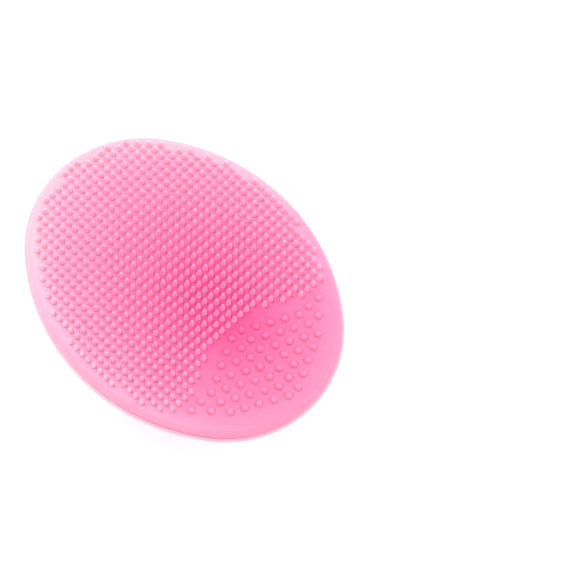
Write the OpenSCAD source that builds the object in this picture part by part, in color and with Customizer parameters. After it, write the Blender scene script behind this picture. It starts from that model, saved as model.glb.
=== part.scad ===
// Silicone face cleansing pad that stands on its suction cup, bristles up.
// Millimetres. +Z runs up from the surface that the cup's lip rests on,
// +X points to the end with the large massage nubs, and the origin is the
// centre of the cup's lip on that surface.

/* [Pad] */
// Length of the oval pad
pad_length = 65; // [60:1:72]
// Width of the oval pad
pad_width = 52; // [48:1:56]
// Radius of the two round ends of the oval
end_radius = 22.2; // [20:0.2:22.8]
// Height of the flat face above the surface
face_z = 17.6; // [17.4:0.1:19]
// Thickness of the pad inside its rim
pad_thickness = 1.9; // [1.7:0.1:2.1]
// Radius of the round shoulder between the face and the edge
shoulder_radius = 1.3; // [0.9:0.1:1.4]

/* [Rim lip] */
// Height of the lip round the back edge
lip_height = 1.3; // [1.2:0.1:1.5]
// Width of the lip, from the outer edge inwards
lip_width = 1.6; // [1.4:0.1:2.2]
// How far the lip stands out past the shoulder above it
lip_step = 0.25; // [0.1:0.05:0.4]

/* [Bristles] */
// Distance between neighbouring bristles
bristle_pitch = 1.55; // [1.5:0.05:2]
// Height of a bristle above the face
bristle_height = 1.8; // [1.2:0.1:2.4]
// Diameter of a bristle at its root
bristle_root_d = 0.9; // [0.6:0.05:1]
// Diameter of a bristle at its tip
bristle_tip_d = 0.66; // [0.4:0.02:0.8]
// Plain margin between the pad's edge and the outermost bristles, along the sides
bristle_side_margin = 2.15; // [1.8:0.05:4]
// Plain margin between the pad's edge and the outermost bristles, round the ends
bristle_end_margin = 1.85; // [1.8:0.05:4]

/* [Massage nubs] */
// Distance between neighbouring nubs
nub_pitch = 2.47; // [2:0.01:3]
// Diameter of a nub
nub_d = 1.5; // [1.2:0.1:1.8]
// Height of a nub above the face
nub_height = 0.65; // [0.4:0.05:0.9]
// Distance from the pad's centre to the first nubs
nub_start_x = 13.6; // [13.4:0.1:15]
// Plain margin between the pad's edge and the outermost nubs
nub_margin = 3.6; // [3:0.1:5]

/* [Neck] */
// Diameter of the bending neck
neck_d = 8; // [7:0.1:8]
// Height of the lower bending point
lower_bend_z = 7.5; // [7.5:0.1:7.8]
// Height of the upper bending point
upper_bend_z = 11.4; // [11.1:0.1:11.4]

/* [Suction cup] */
// Diameter of the cup
cup_d = 23; // [22:0.5:26]
// Diameter of the middle of the cup, which travels when the cup is pressed
hub_d = 15.9; // [15.5:0.1:16.2]
// How far the middle of the cup travels when it is pressed flat
press_travel = 0.8; // [0.4:0.1:0.8]
// Diameter of the round dimple in the middle of the cup
dimple_d = 5.6; // [4:0.2:6.4]

/* [Hidden] */
$fn = 96;

pink = "hotpink";
pale_pink = "lightpink";

// The oval's outline is four tangent arcs: two ends and two long sides.
half_width = pad_width / 2;
end_x = pad_length / 2 - end_radius;
side_radius = (end_x ^ 2 + half_width ^ 2 - end_radius ^ 2) / (2 * (half_width - end_radius));
side_y = side_radius - half_width;
join_angle = atan2(side_y, end_x);
arc_steps = 22;

// Heights from the pad's back to its face
back_z = face_z - pad_thickness;
shoulder_z = face_z - shoulder_radius;
groove_height = 0.3;
groove_depth = 0.3;
lip_top_z = shoulder_z - groove_height;
lip_z = lip_top_z - lip_height;
dish_slope_width = 2.4;
dish_slope_depth = 0.2;
centre_inset = 20;

// The face is a skin in two panels, one with bristles and one with nubs. The
// line between them is an arc round the nubs that runs out into a straight line.
skin = 0.5;
skin_inset = 1.6;
panel_arc_x = 12.6;
panel_arc_radius = 24;
panel_line_x = 17.2;
bristle_column_x = 0.5;
bristle_clearance = 0.55;
nub_step_rows = 4;
nub_ball_r = (nub_d ^ 2 / 4 + nub_height ^ 2) / (2 * nub_height);

// The neck's bending points are round balls that turn in round seats.
neck_r = neck_d / 2;
seat_clearance = 0.05;
seat_r = neck_r + seat_clearance;
seat_wall = 0.45;
seat_rim = 1.7;
rim_r = seat_r + seat_wall;

// The cup's section
cup_r = cup_d / 2;
hub_r = hub_d / 2;
slide_clearance = 0.05;
bore_r = hub_r + slide_clearance;
cup_edge_r = 1.05;
land_width = 0.9;
cup_depth = press_travel + 0.1;
cup_funnel_depth = 0.25;
lip_crown_z = 2.9;
hub_top_z = 3.2;
dimple_top_z = 2.4;
dimple_r = dimple_d / 2;

// Points of an arc about [cx, cy], radius r, from angle a to angle b
function arc(cx, cy, r, a, b, n) =
    [for (i = [0:n]) let (t = a + (b - a) * i / n) [cx + r * cos(t), cy + r * sin(t)]];

// Whether a point lies nearer a side of the pad than an end
function on_side(x, y) = atan2(abs(y) + side_y, abs(x)) > join_angle;

// How far inside the pad's outline a point lies
function inset(x, y) = on_side(x, y)
    ? side_radius - norm([x, abs(y) + side_y])
    : end_radius - norm([abs(x) - end_x, y]);

// The outline drawn a distance inside the pad's edge, anticlockwise
function open_arc(cx, cy, r, a, b) =
    [for (i = [0:arc_steps - 1]) let (t = a + (b - a) * i / arc_steps) [cx + r * cos(t), cy + r * sin(t)]];
function oval(inside) = concat(
    open_arc(end_x, 0, end_radius - inside, -join_angle, join_angle),
    open_arc(0, -side_y, side_radius - inside, join_angle, 180 - join_angle),
    open_arc(-end_x, 0, end_radius - inside, 180 - join_angle, 180 + join_angle),
    open_arc(0, side_y, side_radius - inside, 180 + join_angle, 360 - join_angle));

// A solid whose edge follows the oval. The section is a list of
// [distance inside the edge, height] points, anticlockwise with the pad's
// centre on the left. A closed section makes a ring, and an open one is
// capped flat at its first and last points.
module oval_sweep(section, closed) {
    n = len(oval(0));
    m = len(section);
    points = [for (s = section, p = oval(s[0])) [p[0], p[1], s[1]]];
    bands = closed ? m : m - 1;
    walls = [for (j = [0:bands - 1], i = [0:n - 1])
        let (k = (j + 1) % m, h = (i + 1) % n) [j * n + i, k * n + i, k * n + h, j * n + h]];
    caps = closed ? [] : [[for (i = [0:n - 1]) i], [for (i = [n - 1:-1:0]) (m - 1) * n + i]];
    polyhedron(points = points, faces = concat(walls, caps));
}

module pad_disc() color(pink)
    oval_sweep(concat(
        [[centre_inset, back_z], [lip_width + dish_slope_width, back_z], [lip_width, back_z - dish_slope_depth],
         [lip_width, lip_top_z], [lip_step + groove_depth, lip_top_z]],
        arc(lip_step + shoulder_radius, shoulder_z, shoulder_radius, 180, 90, 7),
        [[skin_inset, face_z], [skin_inset, face_z - skin], [centre_inset, face_z - skin]]), closed = false);

module rim_lip() color(pale_pink) {
    round_r = lip_height / 2;
    oval_sweep(concat(
        arc(round_r, lip_z + round_r, round_r, 270, 90, 10),
        [[lip_width, lip_top_z], [lip_width, lip_z + 0.25], [lip_width - 0.25, lip_z]]), closed = true);
}

// The part of the face that carries nubs
module nub_zone() {
    translate([panel_arc_x + panel_arc_radius, 0]) circle(panel_arc_radius, $fn = 180);
    translate([panel_line_x, -pad_width]) square([pad_length, 2 * pad_width]);
}

function nub_zone_x(y) =
    min(panel_arc_x + panel_arc_radius - sqrt(panel_arc_radius ^ 2 - y ^ 2), panel_line_x);

module bristle()
    translate([0, 0, -skin / 2])
        cylinder(d1 = bristle_root_d, d2 = bristle_tip_d, h = bristle_height + skin / 2, $fn = 24);

module bristle_panel() color(pale_pink) {
    columns = ceil(pad_length / 2 / bristle_pitch);
    rows = floor(half_width / bristle_pitch);
    translate([0, 0, face_z - skin]) linear_extrude(skin) difference() {
        polygon(oval(skin_inset));
        nub_zone();
    }
    for (row = [-rows:rows], column = [-columns:columns])
        let (x = bristle_column_x + bristle_pitch * column, y = bristle_pitch * row)
            if (inset(x, y) >= (on_side(x, y) ? bristle_side_margin : bristle_end_margin)
                && x + bristle_clearance <= nub_zone_x(y))
                translate([x, y, face_z]) bristle();
}

module nub_panel() color(pale_pink) {
    rows = ceil(half_width / nub_pitch);
    translate([0, 0, face_z - skin]) linear_extrude(skin) intersection() {
        polygon(oval(skin_inset));
        nub_zone();
    }
    for (side = [-1, 1], row = [0:rows], column = [0:rows])
        let (x = nub_start_x + nub_pitch * (min(row, nub_step_rows) / 2 + column),
             y = side * nub_pitch * (row + 0.5))
            if (inset(x, y) >= nub_margin)
                translate([x, y, face_z]) nub();
}

// A round cap that stands on the face and is rooted in the skin
module nub()
    intersection() {
        translate([0, 0, nub_height - nub_ball_r]) sphere(nub_ball_r, $fn = 32);
        translate([0, 0, -skin / 2]) cylinder(r = nub_d, h = nub_height + skin);
    }

// A fillet that widens from the neck's seat rim to a flat face, drawn upwards
// from the face at height 0
module seat_fillet(height)
    rotate_extrude() polygon(concat(
        [[0, 0]], arc(rim_r + height, height, height, 270, 180, 10), [[0, height]]));

module neck_foot() color(pink)
    difference() {
        translate([0, 0, hub_top_z]) seat_fillet(lower_bend_z - seat_rim - hub_top_z);
        translate([0, 0, lower_bend_z]) sphere(r = seat_r);
    }

module neck_flare() color(pink)
    difference() {
        translate([0, 0, back_z]) mirror([0, 0, 1]) seat_fillet(back_z - upper_bend_z - seat_rim);
        translate([0, 0, upper_bend_z]) sphere(r = seat_r);
    }

module neck_stem() color(pink)
    rotate_extrude() difference() {
        union() {
            translate([0, lower_bend_z]) circle(neck_r);
            translate([0, upper_bend_z]) circle(neck_r);
            translate([-neck_r, lower_bend_z]) square([neck_d, upper_bend_z - lower_bend_z]);
        }
        translate([-2 * neck_d, 0]) square([2 * neck_d, 2 * face_z]);
    }

module cup_lip() color(pink) {
    edge_x = cup_r - cup_edge_r;
    rotate_extrude() polygon(concat(
        [[bore_r, cup_depth], [edge_x - land_width, 0]],
        arc(edge_x, cup_edge_r, cup_edge_r, -90, 90, 12),
        [[bore_r, lip_crown_z]]));
}

module cup_hub() color(pink)
    difference() {
        rotate_extrude() polygon([
            [0, cup_depth + cup_funnel_depth], [dimple_r, cup_depth + cup_funnel_depth],
            [hub_r, cup_depth], [hub_r, hub_top_z], [0, hub_top_z]]);
        translate([0, 0, dimple_top_z - dimple_r]) sphere(r = dimple_r);
    }

cup_lip();
cup_hub();
neck_foot();
neck_stem();
neck_flare();
pad_disc();
rim_lip();
bristle_panel();
nub_panel();
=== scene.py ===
"""Looks of the silicone face cleansing pad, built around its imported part, in the part's own frame."""

import math
import random

import bpy
from mathutils import Matrix, Vector


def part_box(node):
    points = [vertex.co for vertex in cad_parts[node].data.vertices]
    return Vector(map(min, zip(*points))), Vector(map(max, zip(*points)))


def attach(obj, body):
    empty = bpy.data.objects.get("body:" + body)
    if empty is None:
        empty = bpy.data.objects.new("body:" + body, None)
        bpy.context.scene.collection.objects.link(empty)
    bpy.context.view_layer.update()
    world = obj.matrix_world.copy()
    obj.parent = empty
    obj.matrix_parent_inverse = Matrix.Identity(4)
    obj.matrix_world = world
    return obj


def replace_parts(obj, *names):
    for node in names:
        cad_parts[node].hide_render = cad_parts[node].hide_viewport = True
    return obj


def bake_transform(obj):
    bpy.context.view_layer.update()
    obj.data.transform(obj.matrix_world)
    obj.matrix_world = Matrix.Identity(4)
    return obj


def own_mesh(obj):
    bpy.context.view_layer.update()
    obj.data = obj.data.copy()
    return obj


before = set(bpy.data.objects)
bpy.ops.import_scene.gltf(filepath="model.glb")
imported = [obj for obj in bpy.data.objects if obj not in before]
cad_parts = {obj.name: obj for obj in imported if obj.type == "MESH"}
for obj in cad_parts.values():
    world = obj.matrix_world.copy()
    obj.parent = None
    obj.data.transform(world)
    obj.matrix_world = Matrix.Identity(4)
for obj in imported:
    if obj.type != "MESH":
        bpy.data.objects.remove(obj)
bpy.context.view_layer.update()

MM = 0.001


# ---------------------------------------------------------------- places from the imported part, in mm

def box_mm(node):
    """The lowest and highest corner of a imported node."""
    low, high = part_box(node)
    return low / MM, high / MM


rim_low, rim_high = box_mm("rim_lip")
disc_low, disc_high = box_mm("pad_disc")
stem_low, stem_high = box_mm("neck_stem")
bristle_high = box_mm("bristle_panel")[1]
cup_high = box_mm("cup_lip")[1]
hub_high = box_mm("cup_hub")[1]

FACE_Z = disc_high.z
LIP_Z, LIP_TOP_Z = rim_low.z, rim_high.z
DISH_SLOPE = 0.2
UNDERSIDE_Z = disc_low.z
BACK_Z = UNDERSIDE_Z + DISH_SLOPE
BRISTLE_HEIGHT = bristle_high.z - FACE_Z
NECK_R = stem_high.x
LOWER_BEND_Z, UPPER_BEND_Z = stem_low.z + NECK_R, stem_high.z - NECK_R
NECK_MID_Z = (LOWER_BEND_Z + UPPER_BEND_Z) / 2
HUB_TOP_Z = hub_high.z
CUP_R = cup_high.x

# The oval outline: four tangent arcs
END_RADIUS = 22.2
half_length, half_width = rim_high.x, rim_high.y
end_x = half_length - END_RADIUS
side_radius = (end_x**2 + half_width**2 - END_RADIUS**2) / (2 * (half_width - END_RADIUS))
side_y = side_radius - half_width
join_angle = math.atan2(side_y, end_x)

ARC_STEPS = 48
# Beyond this far inside the edge, the outline shrinks evenly to the centre
CENTRE_INSET = 20.0
CENTRE_SPAN = 6.0
# How much higher the middle of the face is than its edge
CROWN = 0.35


def outline_arcs():
    """Centre, radius and angle of each station round the outline."""
    half_turn = math.pi
    arcs = (
        (end_x, 0, END_RADIUS, -join_angle, join_angle),
        (0, -side_y, side_radius, join_angle, half_turn - join_angle),
        (-end_x, 0, END_RADIUS, half_turn - join_angle, half_turn + join_angle),
        (0, side_y, side_radius, half_turn + join_angle, 2 * half_turn - join_angle),
    )
    return [(cx, cy, r, start + (end - start) * i / ARC_STEPS)
            for cx, cy, r, start, end in arcs for i in range(ARC_STEPS)]


STATIONS = outline_arcs()


def oval_ring(inside, z):
    """The outline drawn a distance inside the pad's edge, which shrinks to a point at the centre."""
    offset = min(inside, CENTRE_INSET)
    shrink = 1 - max(0.0, inside - CENTRE_INSET) / CENTRE_SPAN
    return [
        ((cx + (r - offset) * math.cos(t)) * shrink, (cy + (r - offset) * math.sin(t)) * shrink, z)
        for cx, cy, r, t in STATIONS
    ]


def on_side(x, y):
    """Whether a point lies nearer a side of the pad than an end."""
    return math.atan2(abs(y) + side_y, abs(x)) > join_angle


def inset(x, y):
    """How far inside the pad's outline a point lies."""
    if on_side(x, y):
        return side_radius - math.hypot(x, abs(y) + side_y)
    return END_RADIUS - math.hypot(abs(x) - end_x, y)


def face_height(inside):
    """Height of the face, which is crowned towards the middle."""
    reach = CENTRE_INSET + CENTRE_SPAN
    return FACE_Z + CROWN * (1 - (1 - min(max(inside, 0.0), reach) / reach) ** 2)


# The pad's edge: a rounded shoulder, a fine groove below it and the rounded lip
SHOULDER_R = 1.3
SHOULDER_Z = FACE_Z - SHOULDER_R
GROOVE_DEPTH = 0.3
LIP_WIDTH = 1.6
LIP_STEP = 0.42
DISH_SLOPE_WIDTH = 2.4

# Where the nubs' part of the face begins: an arc that runs out into a straight line
PANEL_ARC_X, PANEL_ARC_R, PANEL_LINE_X = 12.6, 24.0, 17.2

# Bristles on a square grid
BRISTLE_PITCH = 1.55
BRISTLE_SIDE_MARGIN, BRISTLE_END_MARGIN = 2.15, 1.85
BRISTLE_CLEARANCE = 0.55
BRISTLE_COLUMN_X = 0.5
BRISTLE_ROOT_R, BRISTLE_TIP_R = 0.41, 0.32
EDGE_LEAN = math.radians(2.5)
LEAN_JITTER = math.radians(1.2)
HEADING_JITTER = 0.1
LENGTH_SPREAD = (0.97, 1.02)
GRID_SLACK = 1e-6

# Nubs in rows, each of the first few half a pitch further on than the one before
NUB_PITCH, NUB_R, NUB_HEIGHT = 2.47, 0.75, 0.65
NUB_START_X, NUB_MARGIN, NUB_STEP_ROWS = 13.6, 3.6, 4


# ---------------------------------------------------------------- mesh helpers, in mm

def add_piece(name, points, faces, material):
    """A smooth shaded piece from points in millimetres."""
    mesh = bpy.data.meshes.new(name)
    mesh.from_pydata([Vector(p) * MM for p in points], [], faces)
    mesh.validate()
    mesh.shade_smooth()
    mesh.materials.append(material)
    piece = bpy.data.objects.new(name, mesh)
    bpy.context.scene.collection.objects.link(piece)
    return piece


def bridge(rings, closed):
    """Points and quads of a skin over rings with the same number of points."""
    n = len(rings[0])
    points = [p for ring in rings for p in ring]
    last = len(rings) if closed else len(rings) - 1
    faces = []
    for j in range(last):
        a, b = j * n, (j + 1) % len(rings) * n
        faces += [(a + i, a + (i + 1) % n, b + (i + 1) % n, b + i) for i in range(n)]
    return points, faces


def close_end(points, faces, start, n, tip, flip):
    """A fan from the ring that begins at point number start to a tip."""
    points.append(tip)
    for i in range(n):
        a, b = start + i, start + (i + 1) % n
        faces.append((b, a, len(points) - 1) if flip else (a, b, len(points) - 1))


def arc(cx, cy, r, start, end, steps):
    """Points of an arc, with its angles in degrees."""
    angles = [math.radians(start + (end - start) * i / steps) for i in range(steps + 1)]
    return [(cx + r * math.cos(t), cy + r * math.sin(t)) for t in angles]


def revolve(profile, segments, close_first=False, close_last=False):
    """A surface of revolution about Z from (radius, height) points."""
    angles = [math.tau * i / segments for i in range(segments)]
    rings = [[(r * math.cos(t), r * math.sin(t), z) for t in angles] for r, z in profile]
    points, faces = bridge(rings, closed=False)
    if close_first:
        close_end(points, faces, 0, segments, (0, 0, profile[0][1]), flip=True)
    if close_last:
        last = (len(rings) - 1) * segments
        close_end(points, faces, last, segments, (0, 0, profile[-1][1]), flip=False)
    return points, faces


# ---------------------------------------------------------------- materials

def linear(red, green, blue):
    """A colour given from 0 to 255 as linear RGBA."""
    def channel(value):
        value /= 255
        return value / 12.92 if value <= 0.04045 else ((value + 0.055) / 1.055) ** 2.4
    return channel(red), channel(green), channel(blue), 1.0


def add_node(tree, kind, inputs, **settings):
    node = tree.nodes.new(kind)
    for key, value in settings.items():
        setattr(node, key, value)
    for socket, value in inputs.items():
        if isinstance(value, bpy.types.NodeSocket):
            tree.links.new(value, node.inputs[socket])
        else:
            node.inputs[socket].default_value = value
    return node


def add_ramp(tree, factor, stops):
    ramp = add_node(tree, "ShaderNodeValToRGB", {"Fac": factor})
    elements = ramp.color_ramp.elements
    while len(elements) < len(stops):
        elements.new(0.5)
    for element, (position, colour) in zip(elements, stops):
        element.position, element.color = position, linear(*colour)
    return ramp.outputs["Color"]


def vector_math(tree, operation, first, *second):
    inputs = dict(enumerate((first, *second)))
    return add_node(tree, "ShaderNodeVectorMath", inputs, operation=operation).outputs


def multiply(tree, first, second):
    return add_node(tree, "ShaderNodeMath", {0: first, 1: second}, operation="MULTIPLY").outputs[0]


def least(tree, first, second):
    return add_node(tree, "ShaderNodeMath", {0: first, 1: second}, operation="MINIMUM").outputs[0]


def share_between(tree, value, start, end, low=0.0, high=1.0, smooth=False):
    """A share that runs from low to high while a value runs from start to end."""
    inputs = {"Value": value, "From Min": start, "From Max": end, "To Min": low, "To Max": high}
    kind = "SMOOTHSTEP" if smooth else "LINEAR"
    return add_node(tree, "ShaderNodeMapRange", inputs, interpolation_type=kind).outputs["Result"]


def mix_colours(tree, share, first, second):
    # Sockets 6 and 7 of the mix node are its two colours
    mix = add_node(tree, "ShaderNodeMix", {"Factor": share, 6: first, 7: second}, data_type="RGBA")
    return mix.outputs[2]


# Painted shade and glow: the ramps run from deep pink at the shaded middle of the face, where the neck
# behind blocks light, to pale beyond the far edge, where light shines through thin silicone. The shaded
# middle is set off towards +X, the side in more shade.
SHADE_CENTRE = (7.0, 1.0)
SHADE_REACH = 1.25
SHADE_GLOW_STOPS = [
    (0.10, (234, 80, 146)),
    (0.17, (235, 89, 149)),
    (0.30, (236, 106, 159)),
    (0.38, (237, 116, 165)),
    (0.60, (238, 134, 176)),
    (0.70, (239, 150, 186)),
    (0.80, (240, 160, 191)),
    (0.93, (241, 168, 196)),
]
# Painted light: the bristles' ground is paler than the plain face, for light that passes through the
# bristles
GROUND_LIGHT_STOPS = [
    (0.12, (236, 77, 152)),
    (0.30, (237, 107, 168)),
    (0.52, (238, 134, 183)),
    (0.60, (239, 149, 190)),
    (0.84, (241, 171, 203)),
]
# Painted light: the bristles' shafts are pale for light scattered through them, which lifts their shaded
# foot
BODY_LIGHT_STOPS = [
    (0.12, (246, 182, 213)),
    (0.30, (247, 182, 211)),
    (0.55, (248, 186, 212)),
    (0.72, (248, 188, 212)),
    (0.90, (250, 208, 224)),
]
# Painted light on the tips, a little deeper than the shafts so their highlight stays soft
TIP_LIGHT_STOPS = [
    (0.12, (243, 151, 190)),
    (0.30, (243, 156, 191)),
    (0.55, (245, 170, 197)),
    (0.72, (245, 173, 198)),
    (0.90, (247, 192, 211)),
]
# Painted shade in the groove under the shoulder
GROOVE_SHADE_STOPS = [(0.30, (222, 76, 138)), (0.95, (228, 108, 156))]
# Painted glow: the rim bead is pale, as light shines through the thin lip
RIM_GLOW_STOPS = [(0.60, (246, 184, 203)), (0.95, (247, 189, 206))]
# Painted light: the nub tops are paler than the face round them
NUB_TOP_LIGHT_STOPS = [(0.12, (236, 104, 160)), (0.40, (238, 134, 178)), (0.80, (241, 166, 196))]
# The neck and cup follow the same painted shade share: deep pink near the middle
GRIP_STOPS = [(0.0, (232, 80, 144)), (0.20, (236, 106, 160)), (0.40, (240, 144, 184))]

# Painted glow: the edge is painted pale, as light shines through the thin silicone, most on the side of
# the key light, away from the nubs.
# Inner and outer are shares of the oval; from and to are millimetres along the way it glows.
EDGE_GLOW = (247, 186, 202)
BRISTLE_EDGE_GLOW = (248, 192, 214)
PALE_INNER, PALE_OUTER = 0.82, 0.95
GLOW_WAY = (-0.97, 0.25, 0.0)
PALE_FROM, PALE_TO = -6.0, 26.0
PALE_LEAST = 0.12

# Painted light: the bristles' ground is painted paler, for light that passes through the bristles; how
# softly that colour ends at the nubs' part and at the edge
GROUND_START, GROUND_FULL = 0.5, 1.5
GROUND_OUTER, GROUND_INNER = 0.95, 0.90

# Slow drift of the pink, fine grain of the surface and uneven sheen
DRIFT_SCALE, DRIFT_SHARE = 90.0, 0.06
GRAIN_SCALE, GRAIN_STRENGTH, GRAIN_DEPTH = 2600.0, 0.25, 0.02
SHEEN_SCALE, SHEEN_SPREAD = 240.0, 0.07

SILICONE_IOR = 1.41
TRANSLUCENCY = 0.7
LIGHT_REACH = (1.0, 0.6, 0.8)


def oval_share(tree, place, centre):
    """Distance from a centre on the face: 1 is half the length along X and half the width along Y."""
    middle = (centre[0] * MM, centre[1] * MM, 0)
    from_middle = vector_math(tree, "SUBTRACT", place, middle)[0]
    per_half = (1 / (half_length * MM), 1 / (half_width * MM), 0)
    return vector_math(tree, "LENGTH", vector_math(tree, "MULTIPLY", from_middle, per_half)[0])["Value"]


def bristle_ground(tree, place):
    """1 on the part of the face that carries bristles and 0 on the part that carries nubs."""
    arc_centre = ((PANEL_ARC_X + PANEL_ARC_R) * MM, 0, FACE_Z * MM)
    from_arc = vector_math(tree, "DISTANCE", place, arc_centre)["Value"]
    beyond_arc = share_between(
        tree, from_arc, (PANEL_ARC_R + GROUND_START) * MM, (PANEL_ARC_R + GROUND_FULL) * MM)
    along_x = add_node(tree, "ShaderNodeSeparateXYZ", {"Vector": place}).outputs["X"]
    before_line = share_between(
        tree, along_x, (PANEL_LINE_X - GROUND_START) * MM, (PANEL_LINE_X - GROUND_FULL) * MM)
    inside_edge = share_between(tree, oval_share(tree, place, (0, 0)), GROUND_OUTER, GROUND_INNER)
    return least(tree, least(tree, beyond_arc, before_line), inside_edge)


def edge_glow_share(tree, place):
    """How much of the painted edge glow a place takes: most at the edge, on the side of the key light."""
    edge = share_between(tree, oval_share(tree, place, (0, 0)), PALE_INNER, PALE_OUTER)
    along = vector_math(tree, "DOT_PRODUCT", place, GLOW_WAY)["Value"]
    side = share_between(tree, along, PALE_FROM * MM, PALE_TO * MM, low=PALE_LEAST, smooth=True)
    return multiply(tree, edge, side)


def silicone_colour(tree, place, stops, ground_stops, bands, edge_glow):
    """The pink of each place, all painted shade and glow, from its shade share, its ground, its height
    and the edge, in that order.
    """
    drift = add_node(tree, "ShaderNodeTexNoise", {"Vector": place, "Scale": DRIFT_SCALE, "Detail": 2.0})
    drifted = add_node(
        tree, "ShaderNodeMath",
        {0: drift.outputs["Fac"], 1: DRIFT_SHARE, 2: oval_share(tree, place, SHADE_CENTRE)},
        operation="MULTIPLY_ADD").outputs[0]
    # The noise adds half its share on average, which is taken off again here
    painted_shade_share = share_between(tree, drifted, DRIFT_SHARE / 2, DRIFT_SHARE / 2 + SHADE_REACH)
    # Painted shade and glow: the base colour follows this share
    colour = add_ramp(tree, painted_shade_share, stops)
    if ground_stops:
        lifted_ground_colour = add_ramp(tree, painted_shade_share, ground_stops)
        colour = mix_colours(tree, bristle_ground(tree, place), colour, lifted_ground_colour)
    height = add_node(tree, "ShaderNodeSeparateXYZ", {"Vector": place}).outputs["Z"]
    for band_stops, start, end in bands:
        share = share_between(tree, height, start * MM, end * MM, smooth=True)
        colour = mix_colours(tree, share, colour, add_ramp(tree, painted_shade_share, band_stops))
    return mix_colours(tree, edge_glow_share(tree, place), colour, linear(*edge_glow))


def silicone(name, stops=SHADE_GLOW_STOPS, ground_stops=None, bands=(), edge_glow=EDGE_GLOW,
             roughness=0.42, shine=0.5, depth_of_light=0.9):
    """Soft translucent silicone: painted shade makes it deep pink near the middle of the face, painted
    glow paler to the edge.

    Each of the bands is (stops, start, end): its colours come in from one height to another, in mm.
    """
    material = bpy.data.materials.new(name)
    material.use_nodes = True
    tree = material.node_tree
    tree.nodes.clear()
    place = add_node(tree, "ShaderNodeTexCoord", {}).outputs["Object"]
    grain = add_node(tree, "ShaderNodeTexNoise", {"Vector": place, "Scale": GRAIN_SCALE, "Detail": 3.0})
    haze = add_node(tree, "ShaderNodeTexNoise", {"Vector": place, "Scale": SHEEN_SCALE, "Detail": 3.0})
    bump = add_node(
        tree, "ShaderNodeBump",
        {"Strength": GRAIN_STRENGTH, "Distance": GRAIN_DEPTH * MM, "Height": grain.outputs["Fac"]})
    shader = add_node(tree, "ShaderNodeBsdfPrincipled", {
        "Base Color": silicone_colour(tree, place, stops, ground_stops, bands, edge_glow),
        "Roughness": share_between(tree, haze.outputs["Fac"], 0.0, 1.0,
                                   low=roughness - SHEEN_SPREAD, high=roughness + SHEEN_SPREAD),
        "Normal": bump.outputs["Normal"],
        "IOR": SILICONE_IOR,
        "Specular IOR Level": shine,
        "Subsurface Weight": TRANSLUCENCY,
        "Subsurface Radius": LIGHT_REACH,
        "Subsurface Scale": depth_of_light * MM,
    })
    output = add_node(tree, "ShaderNodeOutputMaterial", {"Surface": shader.outputs[0]})
    output.is_active_output = True
    return material


# Painted shade: deeper pink in the groove under the shoulder, then the pad's painted shade-to-glow pinks
# again on its underside
pad_silicone = silicone("pad_pink", ground_stops=GROUND_LIGHT_STOPS, bands=[
    (GROOVE_SHADE_STOPS, SHOULDER_Z + 0.15, SHOULDER_Z - 0.1),
    (SHADE_GLOW_STOPS, LIP_TOP_Z - 0.2, LIP_TOP_Z - 0.4),
])
# Painted glow on the rim bead
rim_silicone = silicone("rim_pink", stops=RIM_GLOW_STOPS)
# Painted light: the foot of a bristle has the painted colour of its ground, the shaft is painted pale for
# light through it and the tip a little deeper, against its highlight
bristle_silicone = silicone(
    "bristle_pink", stops=GROUND_LIGHT_STOPS, edge_glow=BRISTLE_EDGE_GLOW, roughness=0.6, shine=0.08,
    depth_of_light=0.7,
    bands=[(BODY_LIGHT_STOPS, FACE_Z - 0.1, FACE_Z + 0.7), (TIP_LIGHT_STOPS, FACE_Z + 1.2, FACE_Z + 2.0)])
# Painted light on the nub tops
nub_silicone = silicone("nub_pink", bands=[(NUB_TOP_LIGHT_STOPS, FACE_Z + 0.2, FACE_Z + 1.1)])
grip_silicone = silicone("grip_pink", stops=GRIP_STOPS, roughness=0.44)


# ---------------------------------------------------------------- the pad

# How far inside the edge the rings of the face and of the back lie
FACE_RINGS = (25.0, 22.5, 20.0, 17.0, 14.0, 11.0, 8.5, 6.5, 4.8, 3.4, 2.4, 1.9)
BACK_RINGS = (5.5, 8.0, 12.0, 16.0, 20.0, 23.0, 25.0)


def pad_section():
    """(distance inside the edge, height) points from mid-face round to the middle of the back."""
    face = [(d, face_height(d)) for d in FACE_RINGS]
    shoulder = arc(LIP_STEP + SHOULDER_R, SHOULDER_Z, SHOULDER_R, 90, 180, 10)
    groove_in = LIP_STEP + GROOVE_DEPTH
    groove = [(LIP_STEP + 0.03, SHOULDER_Z - 0.05), (LIP_STEP + 0.12, SHOULDER_Z - 0.11),
              (groove_in - 0.04, SHOULDER_Z - 0.14), (groove_in, SHOULDER_Z - 0.2),
              (groove_in, LIP_TOP_Z - 0.1)]
    under = [(LIP_WIDTH - 0.1, LIP_TOP_Z - 0.1), (LIP_WIDTH - 0.1, UNDERSIDE_Z + 0.03)]
    back = [(LIP_WIDTH + 0.3, UNDERSIDE_Z + 0.02),
            (LIP_WIDTH + DISH_SLOPE_WIDTH * 0.5, BACK_Z - DISH_SLOPE * 0.4),
            (LIP_WIDTH + DISH_SLOPE_WIDTH, BACK_Z - 0.02)]
    back += [(d, BACK_Z) for d in BACK_RINGS]
    return face + shoulder + groove + under + back


def make_pad_body():
    section = pad_section()
    points, faces = bridge([oval_ring(d, z) for d, z in section], closed=False)
    n = len(STATIONS)
    close_end(points, faces, 0, n, (0, 0, section[0][1]), flip=True)
    close_end(points, faces, (len(section) - 1) * n, n, (0, 0, section[-1][1]), flip=False)
    return add_piece("pad_body", points, faces, pad_silicone)


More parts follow.
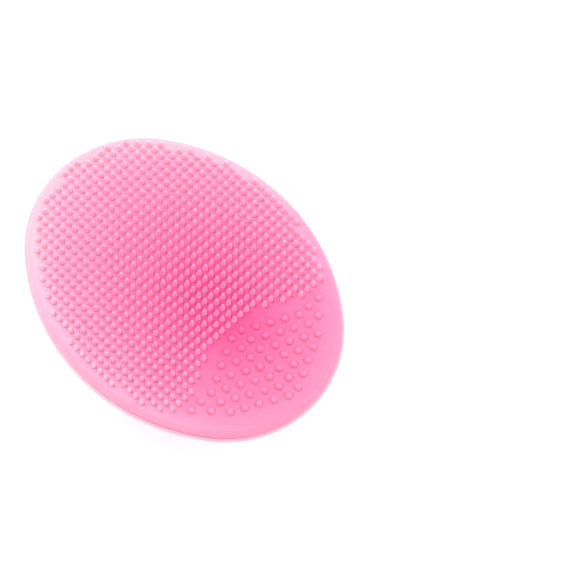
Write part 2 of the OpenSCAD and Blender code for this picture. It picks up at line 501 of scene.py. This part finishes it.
def make_rim_bead():
    """The rounded lip that runs round the back edge."""
    outer_r = (LIP_TOP_Z - LIP_Z) / 2
    inner_r = 0.4
    section = arc(outer_r, LIP_Z + outer_r, outer_r, 90, 270, 16)
    section += arc(LIP_WIDTH - inner_r, LIP_Z + inner_r, inner_r, 270, 360, 8)
    section += [(LIP_WIDTH, LIP_TOP_Z - 0.25), (LIP_WIDTH - 0.2, LIP_TOP_Z)]
    points, faces = bridge([oval_ring(d, z) for d, z in section], closed=True)
    return add_piece("rim_bead", points, faces, rim_silicone)


# ---------------------------------------------------------------- bristles and nubs

BRISTLE_SEGMENTS, NUB_SEGMENTS = 12, 24


def nub_zone_x(y):
    """Where the nubs' part of the face begins."""
    return min(PANEL_ARC_X + PANEL_ARC_R - math.sqrt(PANEL_ARC_R**2 - y**2), PANEL_LINE_X)


def bristle_places():
    columns = math.ceil(half_length / BRISTLE_PITCH)
    rows = math.floor(half_width / BRISTLE_PITCH)
    for row in range(-rows, rows + 1):
        for column in range(-columns, columns + 1):
            x, y = BRISTLE_COLUMN_X + BRISTLE_PITCH * column, BRISTLE_PITCH * row
            margin = BRISTLE_SIDE_MARGIN if on_side(x, y) else BRISTLE_END_MARGIN
            clear_of_edge = inset(x, y) >= margin - GRID_SLACK
            if clear_of_edge and x + BRISTLE_CLEARANCE <= nub_zone_x(y) + GRID_SLACK:
                yield x, y


def nub_places():
    rows = math.ceil(half_width / NUB_PITCH)
    for side in (-1, 1):
        for row in range(rows + 1):
            for column in range(rows + 1):
                x = NUB_START_X + NUB_PITCH * (min(row, NUB_STEP_ROWS) / 2 + column)
                y = side * NUB_PITCH * (row + 0.5)
                if inset(x, y) >= NUB_MARGIN:
                    yield x, y


def add_stud(points, faces, profile, segments, matrix):
    """One bristle or nub: a profile turned about its own axis, with a closed tip."""
    start = len(points)
    stud_points, stud_faces = revolve(profile, segments, close_last=True)
    points += [matrix @ Vector(p) for p in stud_points]
    faces += [tuple(start + i for i in face) for face in stud_faces]


def make_bristles():
    """Short tapered bristles with round tips and a small flare at the root, which fan out a little."""
    seeded = random.Random(11)
    height, root, tip = BRISTLE_HEIGHT, BRISTLE_ROOT_R, BRISTLE_TIP_R
    flare = [(root + 0.20, -0.07), (root + 0.05, 0.07), (root, 0.25)]
    shaft = [((root + tip) / 2, height * 0.5), (tip, height - tip)]
    dome = [(tip * 0.88, height - tip * 0.53), (tip * 0.55, height - tip * 0.17),
            (tip * 0.2, height - tip * 0.02)]
    points, faces = [], []
    for x, y in bristle_places():
        spread = math.hypot(x / half_length, y / half_width)
        lean = EDGE_LEAN * spread + seeded.uniform(-LEAN_JITTER, LEAN_JITTER)
        heading = math.atan2(y / half_width**2, x / half_length**2)
        heading += seeded.uniform(-HEADING_JITTER, HEADING_JITTER)
        scale = seeded.uniform(*LENGTH_SPREAD)
        lean_axis = Vector((-math.sin(heading), math.cos(heading), 0))
        matrix = (Matrix.Translation((x, y, face_height(inset(x, y))))
                  @ Matrix.Rotation(lean, 4, lean_axis) @ Matrix.Diagonal((1, 1, scale, 1)))
        add_stud(points, faces, flare + shaft + dome, BRISTLE_SEGMENTS, matrix)
    return add_piece("bristles", points, faces, bristle_silicone)


def make_nubs():
    """Low round massage nubs with a soft fillet at the foot."""
    ball_r = (NUB_R**2 + NUB_HEIGHT**2) / (2 * NUB_HEIGHT)
    fillet = [(NUB_R + 0.22, -0.05), (NUB_R + 0.08, 0.03)]
    cap = arc(0, NUB_HEIGHT - ball_r, ball_r, 14, 84, 9)
    points, faces = [], []
    for x, y in nub_places():
        on_face = Matrix.Translation((x, y, face_height(inset(x, y))))
        add_stud(points, faces, fillet + cap, NUB_SEGMENTS, on_face)
    return add_piece("massage_nubs", points, faces, nub_silicone)


# ---------------------------------------------------------------- neck and suction cup

NECK_SEGMENTS, CUP_SEGMENTS = 72, 96
WAIST_R = NECK_R - 0.1
FLARE_R = 3.4


def waist(start, end, steps):
    """The straight part of the neck between two heights."""
    return [(WAIST_R, start + (end - start) * i / steps) for i in range(steps + 1)]


def make_neck_upper():
    """The upper half of the neck, with the flare that runs out into the pad's back."""
    straight = waist(NECK_MID_Z, BACK_Z - FLARE_R - 0.15, 14)
    flare = arc(WAIST_R + FLARE_R, BACK_Z - FLARE_R, FLARE_R, 180, 94, 14)
    into_pad = [(WAIST_R + FLARE_R + 0.9, BACK_Z + 0.05)]
    points, faces = revolve(straight + flare + into_pad, NECK_SEGMENTS)
    return add_piece("neck_upper", points, faces, grip_silicone)


def make_neck_lower():
    """The lower half of the neck, with the flare that runs out over the suction cup."""
    into_cup = [(WAIST_R + FLARE_R + 0.7, HUB_TOP_Z - 0.35)]
    flare = arc(WAIST_R + FLARE_R, HUB_TOP_Z + FLARE_R - 0.1, FLARE_R, 266, 180, 14)
    straight = waist(HUB_TOP_Z + FLARE_R + 0.1, NECK_MID_Z, 10)
    points, faces = revolve(into_cup + flare + straight, NECK_SEGMENTS)
    return add_piece("neck_lower", points, faces, grip_silicone)


def make_cup():
    """The round suction cup: a dimple, a shallow funnel and a round edge, with a soft shoulder above."""
    edge_r = 1.05
    dimple_r, dimple_top = 2.8, 2.4
    dimple = arc(0, dimple_top - dimple_r, dimple_r, 86, 40, 10)
    funnel = [(2.35, 1.2), (2.7, 1.06), (3.4, 1.03), (4.6, 1.0), (5.6, 0.93), (7.0, 0.75), (8.4, 0.38),
              (9.3, 0.08)]
    edge = arc(CUP_R - edge_r, edge_r, edge_r, 264, 450, 22)
    shoulder = [(9.8, 2.26), (9.0, 2.5), (8.3, 2.74), (7.7, 2.95), (7.0, 3.1)]
    top = [(5.0, HUB_TOP_Z), (2.0, HUB_TOP_Z)]
    points, faces = revolve(dimple + funnel + edge + shoulder + top, CUP_SEGMENTS,
                            close_first=True, close_last=True)
    return add_piece("suction_cup", points, faces, grip_silicone)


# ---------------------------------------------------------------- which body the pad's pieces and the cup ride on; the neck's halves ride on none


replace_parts(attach(make_pad_body(), "pad"), "pad_disc")
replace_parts(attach(make_rim_bead(), "pad"), "rim_lip")
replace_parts(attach(make_bristles(), "pad"), "bristle_panel")
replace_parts(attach(make_nubs(), "pad"), "nub_panel")

neck_upper = make_neck_upper()
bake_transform(neck_upper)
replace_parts(neck_upper, "neck_flare")

neck_lower = make_neck_lower()
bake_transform(neck_lower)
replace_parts(neck_lower, "neck_foot", "neck_stem")

suction_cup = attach(make_cup(), "lip")
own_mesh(suction_cup)
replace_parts(suction_cup, "cup_lip", "cup_hub")


# ---------------------------------------------------------------- floor, light and camera

FLOOR_R, SWEEP_R = 3000.0, 400.0
FLOOR_COLOUR, FLOOR_GLOW = (180, 180, 181), 0.7
WHITE = (1, 1, 1, 1)
LIGHT_TARGET = (0, 0, 0.01)


def make_floor():
    """A pale floor that sweeps up all round far from the pad, so that a low view has no horizon."""
    material = bpy.data.materials.new("pale_floor")
    material.use_nodes = True
    shader = material.node_tree.nodes["Principled BSDF"]
    shader.inputs["Base Color"].default_value = linear(*FLOOR_COLOUR)
    shader.inputs["Roughness"].default_value = 0.9
    shader.inputs["Specular IOR Level"].default_value = 0.1
    shader.inputs["Emission Color"].default_value = WHITE
    shader.inputs["Emission Strength"].default_value = FLOOR_GLOW
    profile = arc(FLOOR_R - SWEEP_R, SWEEP_R, SWEEP_R, 360, 270, 16) + [(FLOOR_R - 2 * SWEEP_R, 0)]
    points, faces = revolve(profile, 128, close_last=True)
    add_piece("floor", points, faces, material)


def add_softbox(name, place, size, power):
    """A round soft light aimed at the part, in metres and watts."""
    lamp = bpy.data.lights.new(name, "AREA")
    lamp.shape, lamp.size, lamp.energy = "DISK", size, power
    box = bpy.data.objects.new(name, lamp)
    box.location = place
    aim = Vector(LIGHT_TARGET) - Vector(place)
    box.rotation_euler = aim.to_track_quat("-Z", "Y").to_euler()
    bpy.context.scene.collection.objects.link(box)


def make_world(strength):
    world = bpy.data.worlds.new("studio")
    world.use_nodes = True
    background = world.node_tree.nodes["Background"]
    background.inputs["Color"].default_value = WHITE
    background.inputs["Strength"].default_value = strength
    bpy.context.scene.world = world


def make_camera():
    """A long lens from above the front right, rolled a little, with the pad left of the middle."""
    azimuth, elevation, roll = (math.radians(a) for a in (34.0, 68.4, 12.6))
    distance, right_of_pad, below_pad = 0.688, 0.0193, 0.0006
    focus = Vector((0, 0, 16 * MM))
    level = math.cos(elevation)
    back = Vector((math.sin(azimuth) * level, -math.cos(azimuth) * level, math.sin(elevation)))
    level_right = Vector((math.cos(azimuth), math.sin(azimuth), 0))
    level_up = back.cross(level_right)
    right = level_right * math.cos(roll) + level_up * math.sin(roll)
    up = level_up * math.cos(roll) - level_right * math.sin(roll)
    data = bpy.data.cameras.new("camera")
    data.lens, data.sensor_width = 233.6, 36.0
    camera = bpy.data.objects.new("camera", data)
    place = focus + back * distance + right * right_of_pad - up * below_pad
    camera.matrix_world = Matrix.Translation(place) @ Matrix((right, up, back)).transposed().to_4x4()
    bpy.context.scene.collection.objects.link(camera)
    bpy.context.scene.camera = camera


make_floor()
make_world(strength=0.76)
add_softbox("key", (-0.35, -0.1, 0.75), size=0.5, power=4.0)
add_softbox("fill", (0.5, 0.45, 0.5), size=0.6, power=2.0)
make_camera()
bpy.context.scene.view_settings.view_transform = "Standard"
